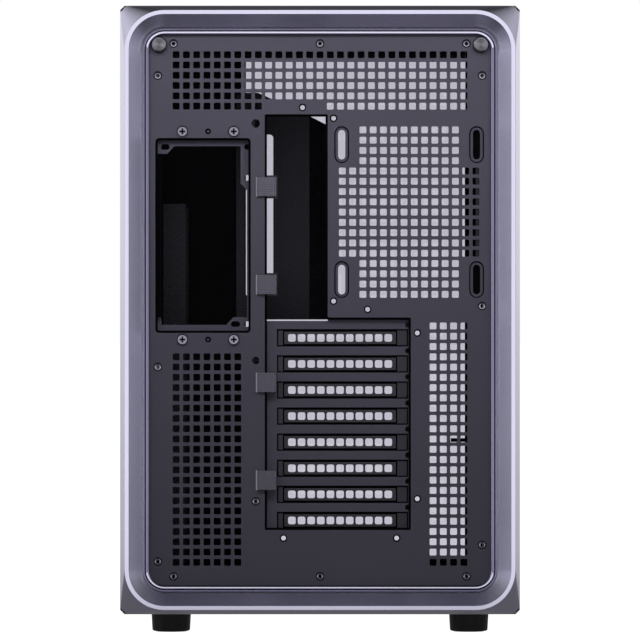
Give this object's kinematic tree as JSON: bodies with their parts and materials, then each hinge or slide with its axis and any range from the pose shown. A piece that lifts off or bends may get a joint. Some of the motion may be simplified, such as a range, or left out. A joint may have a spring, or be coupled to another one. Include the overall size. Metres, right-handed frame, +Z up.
{
  "type": "computer case",
  "caption": "Tower computer case with two chambers: a flared metal rear frame round a vented steel back, glass front and side, and pull-off side panels.",
  "frame": {"origin": "on the floor under the middle of the case", "axes": "+Z up, +Y from the rear panel to the front, +X across, to the right seen from the rear"},
  "size_m": [0.311, 0.47, 0.4892],
  "materials": {
    "anodised_aluminium": "bead-blasted and anodised",
    "powder_coated_steel": "fine powder coat",
    "blackened_steel": "satin",
    "turned_steel": "turned",
    "turned_brass": "turned",
    "tempered_glass": "grey tint",
    "nylon_mesh": "woven mesh",
    "moulded_nylon": "moulded",
    "circuit_laminate": "solder mask",
    "woven_strap": "woven",
    "moulded_foot": "satin gloss",
    "foot_rubber": "matt"
  },
  "bodies": {
    "chassis": {"rear_frame": "anodised_aluminium", "front_frame": "anodised_aluminium", "top_cover": "anodised_aluminium", "io_strip": "anodised_aluminium", "top_rail_glass_side": "anodised_aluminium", "top_rail_steel_side": "anodised_aluminium", "bottom_rail_glass_side": "anodised_aluminium", "bottom_rail_steel_side": "anodised_aluminium", "rear_panel": "powder_coated_steel", "rear_flange": "powder_coated_steel", "supply_bracket": "powder_coated_steel", "slot_plate": "powder_coated_steel", "board_tray": "powder_coated_steel", "cable_cover": "powder_coated_steel", "side_fan_bracket": "powder_coated_steel", "drive_cage": "powder_coated_steel", "front_pillar": "powder_coated_steel", "top_fan_bracket": "powder_coated_steel", "floor_panel": "powder_coated_steel", "bottom_panel": "powder_coated_steel", "rivets": "blackened_steel", "supply_bracket_screws": "blackened_steel", "slot_cover_screws": "blackened_steel", "thumb_screws": "turned_steel", "usb_a_ports": "turned_steel", "usb_c_port": "turned_steel", "standoffs": "turned_brass", "front_glass": "tempered_glass", "top_filter": "nylon_mesh", "bottom_filter": "nylon_mesh", "stud_sockets": "moulded_nylon", "audio_jack": "moulded_nylon", "power_switch": "moulded_nylon", "io_board": "circuit_laminate", "foot_pads": "foot_rubber", "slot_cover_1": "powder_coated_steel", "slot_cover_2": "powder_coated_steel", "slot_cover_3": "powder_coated_steel", "slot_cover_4": "powder_coated_steel", "slot_cover_5": "powder_coated_steel", "slot_cover_6": "powder_coated_steel", "slot_cover_7": "powder_coated_steel", "slot_cover_8": "powder_coated_steel", "cable_strap_1": "woven_strap", "cable_strap_2": "woven_strap", "cable_strap_3": "woven_strap", "cable_strap_4": "woven_strap", "foot_rear_left": "moulded_foot", "foot_rear_right": "moulded_foot", "foot_front_left": "moulded_foot", "foot_front_right": "moulded_foot"},
    "power_button": {"power_button": "anodised_aluminium"},
    "glass_panel": {"glass_side_panel": "tempered_glass", "glass_panel_studs": "turned_steel"},
    "steel_panel": {"steel_side_panel": "powder_coated_steel", "steel_panel_studs": "turned_steel"}
  },
  "joints": [
    {"name": "power_press", "type": "slide", "parent": "chassis", "child": "power_button", "axis": [0, 0, -1], "range_m": [0, 0.0012], "stiffness_N_per_m": 1500},
    {"name": "glass_panel_pull", "type": "slide", "parent": "chassis", "child": "glass_panel", "axis": [1, 0, 0], "range_m": [0, 0.15]},
    {"name": "steel_panel_pull", "type": "slide", "parent": "chassis", "child": "steel_panel", "axis": [-1, 0, 0], "range_m": [0, 0.15]}
  ]
}
